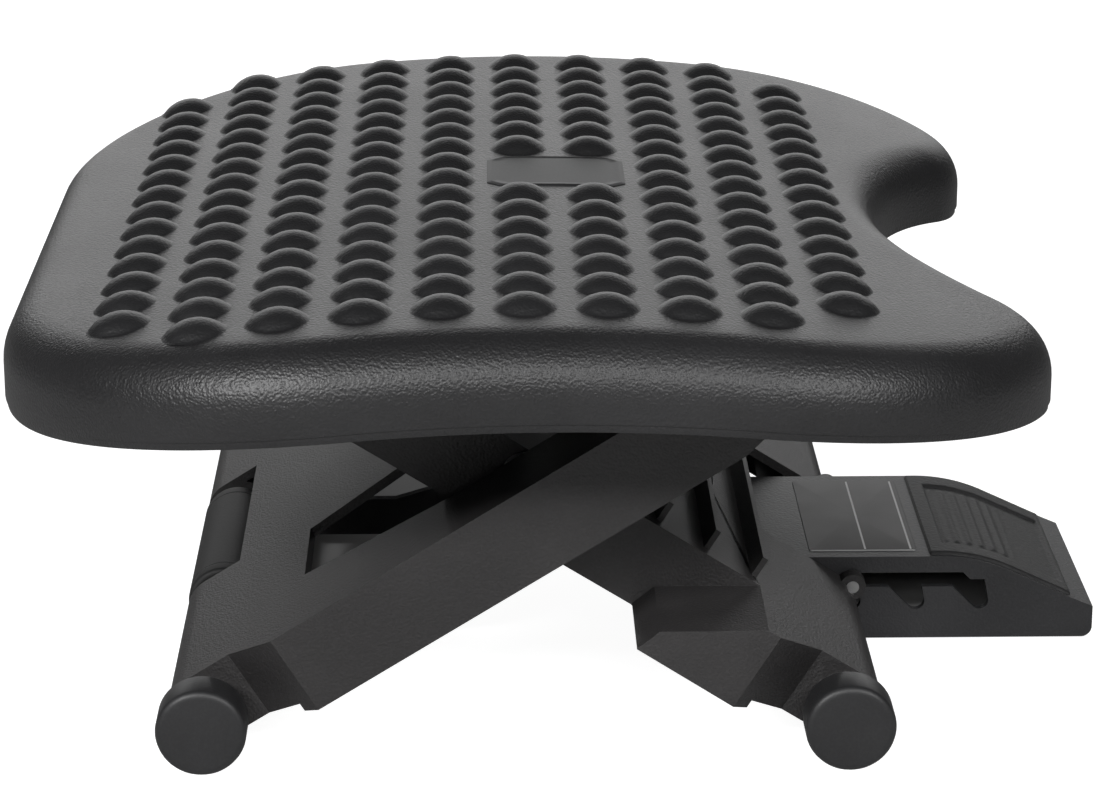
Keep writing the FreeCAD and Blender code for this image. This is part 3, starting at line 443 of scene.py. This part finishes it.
# Foot caps: moulded rubber cups pushed over the ends of both foot tubes. The outer face is very
# slightly domed with a rounded rim, and the underside is flattened where it meets the floor.
cap_rubber = grained("cap_rubber", (0.0085, 0.0085, 0.0092), 0.0009, 0.00003, 0.48, 0.5)
foot_z, foot_x = 0.0156, 0.113


def turned(name, profile, x, z, side, finish, body, lowest=None):
    """A surface of revolution about a line along Y: profile is radius and place along the line."""
    segments = 96
    turn = np.linspace(0, 2 * math.pi, segments, endpoint=False)
    radius, along = np.array(profile, float).T
    grid = np.stack([x + radius[:, None] * np.cos(turn), side * (along[:, None] + 0 * turn),
                     z + radius[:, None] * np.sin(turn)], axis=-1)
    if lowest is not None:
        grid[..., 2] = np.maximum(grid[..., 2], lowest)
    if side < 0:
        grid = grid[:, ::-1]
    return piece_of(name, [grid], finish, body)


cap_profile = [(0.0, 0.1729), (0.008, 0.1728), (0.0128, 0.17255), (0.0134, 0.1725), (0.0140, 0.1724),
               (0.0149, 0.1720), (0.0156, 0.1712), (0.0159, 0.1700), (0.0159, 0.1640), (0.0159, 0.1580),
               (0.0157, 0.1573), (0.0152, 0.1570), (0.0129, 0.1570), (0.0129, 0.1700), (0.0, 0.1700)]
for frame_name, sign in (("outer", -1), ("inner", 1)):
    for side_name, side in (("near", -1), ("far", 1)):
        cap = turned("%s_foot_cap_%s" % (frame_name, side_name), cap_profile,
                     sign * foot_x - origin_x, foot_z, side, cap_rubber,
                     frame_name + "_frame", lowest=0.0)
        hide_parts("%s_cap_%s" % (frame_name, side_name))

# Roller: a rubber sleeve on a hard core, which turns in the outer foot's notch and lets the
# footrest be rolled along. The sleeve has rounded ends and two fine parting grooves.
sleeve_rubber = grained("roller_sleeve_rubber", (0.0075, 0.0073, 0.0075), 0.0008, 0.00006, 0.66, 0.4)
bore, tread_radius = 0.0105, 0.0136
far_half = [(bore, 0.0468), (0.0118, 0.0470), (0.0129, 0.0467), (0.0134, 0.0460), (tread_radius, 0.0448),
            (tread_radius, 0.0402), (0.0133, 0.0400), (0.0133, 0.0394), (tread_radius, 0.0392)]
near_half = [(radius, -along) for radius, along in reversed(far_half)]
sleeve_profile = far_half + [(tread_radius, 0.0)] + near_half + [(bore, 0.0), far_half[0]]
sleeve = turned("roller_tread", sleeve_profile, -foot_x - origin_x, foot_z, 1, sleeve_rubber,
                "roller")
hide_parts("roller_sleeve")

# Lever: a hollow pedal of satin black plastic on two arched arms, with a stepped slot in each side.
lever_plastic = grained("lever_grain", (0.0150, 0.0150, 0.0162), 0.0009, 0.00015, 0.50, 0.7)
softened("lever", "lever_moulding", lever_plastic, "lever", 0.0010)

# Tread: the pedal's sloping end has a raised rim round a shallow recess with soft cross ridges.
tread_start, tread_bend, tread_top = 0.154, 0.158, 0.0335
bend_radius, bend_angle = 0.064, math.radians(25.0)
tread_length, tread_half, tread_y = 0.0585, 0.0445, -0.004
recess_start, recess_end, recess_half, recess_y = 0.0060, 0.0555, 0.0340, -0.001
ridge_start, ridge_end, ridge_half, ridge_pitch = 0.0072, 0.040, 0.0305, 0.0048
rim_rise, recess_depth, ridge_rise, tuck, fillet = 0.0011, 0.0010, 0.0006, 0.0003, 0.0012
walk = np.linspace(0, 1, 150) * tread_length
flat_part = tread_bend - tread_start
turn = np.clip((walk - flat_part) / bend_radius, 0, bend_angle)
straight = np.maximum(walk - flat_part - bend_radius * bend_angle, 0)
path_x = (tread_start + np.minimum(walk, flat_part) + bend_radius * np.sin(turn)
          + straight * math.cos(bend_angle))
path_z = tread_top - bend_radius * (1 - np.cos(turn)) - straight * math.sin(bend_angle)
a, b = np.meshgrid(walk, np.linspace(-1, 1, 121) * tread_half, indexing="ij")


def step(value, low, high):
    """0 below low, 1 above high and a smooth rise between."""
    share = np.clip((value - low) / (high - low), 0, 1)
    return share * share * (3 - 2 * share)


off_middle = np.abs(b - recess_y)
within = (step(a, recess_start, 0.0072) * step(recess_end - a, 0.0, fillet)
          * step(recess_half - off_middle, 0.0, fillet))
edge_fall = (step(a, 0.0, fillet) * step(tread_length - a, 0.0, 0.0015)
             * step(tread_half - np.abs(b), 0.0, fillet))
ridge = 0.5 + 0.5 * np.cos(2 * math.pi * (a - 0.008) / ridge_pitch)
ridges = (ridge ** 1.5 * step(a, ridge_start, 0.009) * step(ridge_end - a, 0.0, 0.012)
          * step(ridge_half - off_middle, 0.0, 0.003))
lift = edge_fall * (rim_rise - within * recess_depth) + ridges * ridge_rise - (1 - edge_fall) * tuck
side_x = np.sin(turn)[:, None]
side_z = np.cos(turn)[:, None]
tread_grid = np.stack([path_x[:, None] + lift * side_x - origin_x, b + tread_y,
                       path_z[:, None] + lift * side_z], axis=-1)
tread_plastic = grained("tread_grain", (0.0090, 0.0090, 0.0094), 0.0013, 0.00020, 0.60, 0.8)
piece_of("pedal_tread", [tread_grid], tread_plastic, "lever", closed=False)

# Label: a dark satin film stuck on the pedal's flat top, with two fine white rules across it and a painted
# highlight as a bright line along its near edge.
label_low, label_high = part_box("lever_label")
film, place, shader = finish_of("label_film")
x = place.node("SeparateXYZ", {"Vector": place}, out="X")
y = place.node("SeparateXYZ", {"Vector": place}, out="Y")


def line_at(flow, middle, half):
    """A soft-edged mask of a fine line where the flow is near one value."""
    return 1 - (flow - middle).maths("ABSOLUTE").clipped(half * 0.6, half * 1.4)


rule_half, first_rule, last_rule = 0.00035, 0.0215, 0.0022
rule_one = line_at(x, float(label_low.x) + first_rule, rule_half)
rule_two = line_at(x, float(label_high.x) - last_rule, rule_half)
from_near, from_far = y - float(label_low.y), float(label_high.y) - y
inside_y = from_near.clipped(0.0015, 0.0019) * from_far.clipped(0.0015, 0.0019)
# Painted highlight: the bright line along the label's near edge, mixed in with the printed rules.
near_edge_highlight = line_at(y, float(label_low.y) + 0.0005, 0.0004)
rules_and_painted_highlight = ((rule_one + rule_two) * inside_y + near_edge_highlight * 0.8).maths("MINIMUM", 1.0)
cloud = place.node("TexNoise", {"Vector": place, "Scale": 60.0, "Detail": 3.0})
print_and_painted_highlight = (rules_and_painted_highlight * (0.75 + cloud * 0.25)).blend((0.020, 0.018, 0.019, 1.0), (0.62, 0.62, 0.62, 1.0))
print_and_painted_highlight.into(shader, "Base Color")
(0.50 + cloud * 0.1).into(shader, "Roughness")
centre = np.array([(label_low.x + label_high.x) / 2, (label_low.y + label_high.y) / 2])
half = np.array([(label_high.x - label_low.x) / 2, (label_high.y - label_low.y) / 2])
turn = np.linspace(0, 2 * math.pi, 96, endpoint=False) + 0.01
round_corner = 0.002
quarter = np.floor(turn / (math.pi / 2)).astype(int) % 4
spot = np.array([(1, 1), (-1, 1), (-1, -1), (1, -1)], float)[quarter]
way = np.stack([np.cos(turn), np.sin(turn)], axis=-1)
rows = [np.repeat([[centre[0], centre[1], label_high.z]], len(turn), axis=0)]
for inward, above in ((0.0008, 0.0), (0.0002, -0.00005), (0.0, -0.0003)):
    flat = centre + spot * (half - round_corner) + (round_corner - inward) * way
    rows.append(np.concatenate([flat, np.full((len(turn), 1), label_high.z + above)], axis=-1))
label = piece_of("pedal_label", [np.array(rows)], film, "lever")
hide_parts("lever_label")

# Rods, brackets, washers and screws: zinc plated steel, drawn or pressed, mostly hidden.
steel, place, shader = finish_of("zinc_plated_steel")
shader.inputs["Metallic"].default_value = 1.0
drawn_along = place.node("Mapping", {"Vector": place, "Scale": (1200.0, 30.0, 1200.0)})
streaks = place.node("TexNoise", {"Vector": drawn_along, "Scale": 1.0, "Detail": 3.0})
spangle = place.node("TexVoronoi", {"Vector": place, "Scale": 300.0}, feature="F1")
tint = (spangle * 0.6 + streaks * 0.4).blend((0.48, 0.48, 0.49, 1.0), (0.62, 0.62, 0.61, 1.0))
tint.into(shader, "Base Color")
(0.24 + streaks * 0.2).into(shader, "Roughness")
scratches = place.node("Bump", {"Height": streaks, "Distance": 0.00003, "Strength": 1.0})
scratches.into(shader, "Normal")
hub_plastic = grained("hub_plastic", (0.02, 0.02, 0.021), 0.0012, 0.00004, 0.42, 0.4)
for name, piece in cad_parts.items():
    if piece.hide_render:
        continue
    piece.data.materials.clear()
    piece.data.materials.append(hub_plastic if "roller" in name else steel)
